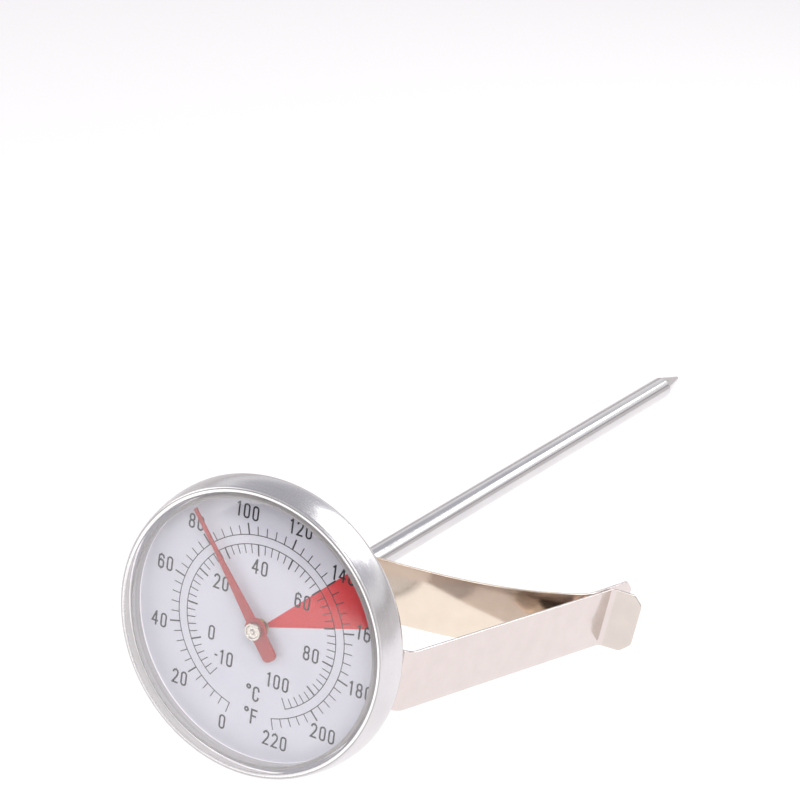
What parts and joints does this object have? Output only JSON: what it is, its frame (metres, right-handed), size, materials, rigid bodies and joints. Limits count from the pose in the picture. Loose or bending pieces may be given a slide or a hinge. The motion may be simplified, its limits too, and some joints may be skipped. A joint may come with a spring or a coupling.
{
  "type": "dial thermometer",
  "caption": "Dial thermometer with a round head, a pointed stem that holds a bimetal helix, and a spring clip that slides on the stem.",
  "frame": {"origin": "on the stem's axis, in the plane of the case's rear face, where the stem leaves the head", "axes": "+Y along the stem towards its point, so the dial faces -Y; +Z towards 12 o'clock on the dial (110 F); +X towards 3 o'clock, the side that the clip reaches out to"},
  "size_m": [0.0681, 0.167, 0.0508],
  "materials": {
    "stainless_head": "satin rolled stainless sheet",
    "stainless_stem": "polished stainless tube",
    "spring_steel": "bright polished spring steel strip",
    "clear_plastic": "clear moulded plastic, glossy",
    "black_rubber": "thin black seal",
    "dial_paint": "satin off-white paint, printed scales and a red sector",
    "pointer_red": "satin red paint",
    "bright_steel": "turned and peened bright steel",
    "brass": "turned brass",
    "bimetal": "cold-rolled bimetal strip",
    "galvanised": "plain pressed aluminium"
  },
  "bodies": {
    "thermometer": {"bezel_ring": "stainless_head", "case_back": "stainless_head", "dial_support_ring": "galvanised", "dial_plate": "dial_paint", "crystal": "clear_plastic", "crystal_gasket": "black_rubber", "stem_tube": "stainless_stem", "stem_flange": "bright_steel", "stem_tip": "stainless_stem", "upper_bearing": "brass", "spindle_guide": "brass", "bimetal_helix": "bimetal", "helix_anchor": "brass"},
    "pointer": {"pointer": "pointer_red", "pointer_bush": "brass", "pointer_cap": "bright_steel", "spindle": "bright_steel", "helix_collar": "brass"},
    "clip": {"clip_outer_arm": "spring_steel"},
    "clip_jaw": {"clip_inner_arm": "spring_steel"}
  },
  "joints": [
    {"name": "pointer_turn", "type": "hinge", "parent": "thermometer", "child": "pointer", "pos_m": [0, 0, 0], "axis": [0, 1, 0], "range_deg": [-126, 204], "stiffness_Nm_per_rad": 0.0004},
    {"name": "clip_slide", "type": "slide", "parent": "thermometer", "child": "clip", "axis": [0, 1, 0], "range_m": [0, 0.115]},
    {"name": "clip_jaw_open", "type": "hinge", "parent": "clip", "child": "clip_jaw", "pos_m": [-0.00602, 0.0004, 0.00063], "axis": [0.1045, 0, 0.9945], "range_deg": [0, 3], "stiffness_Nm_per_rad": 4}
  ]
}
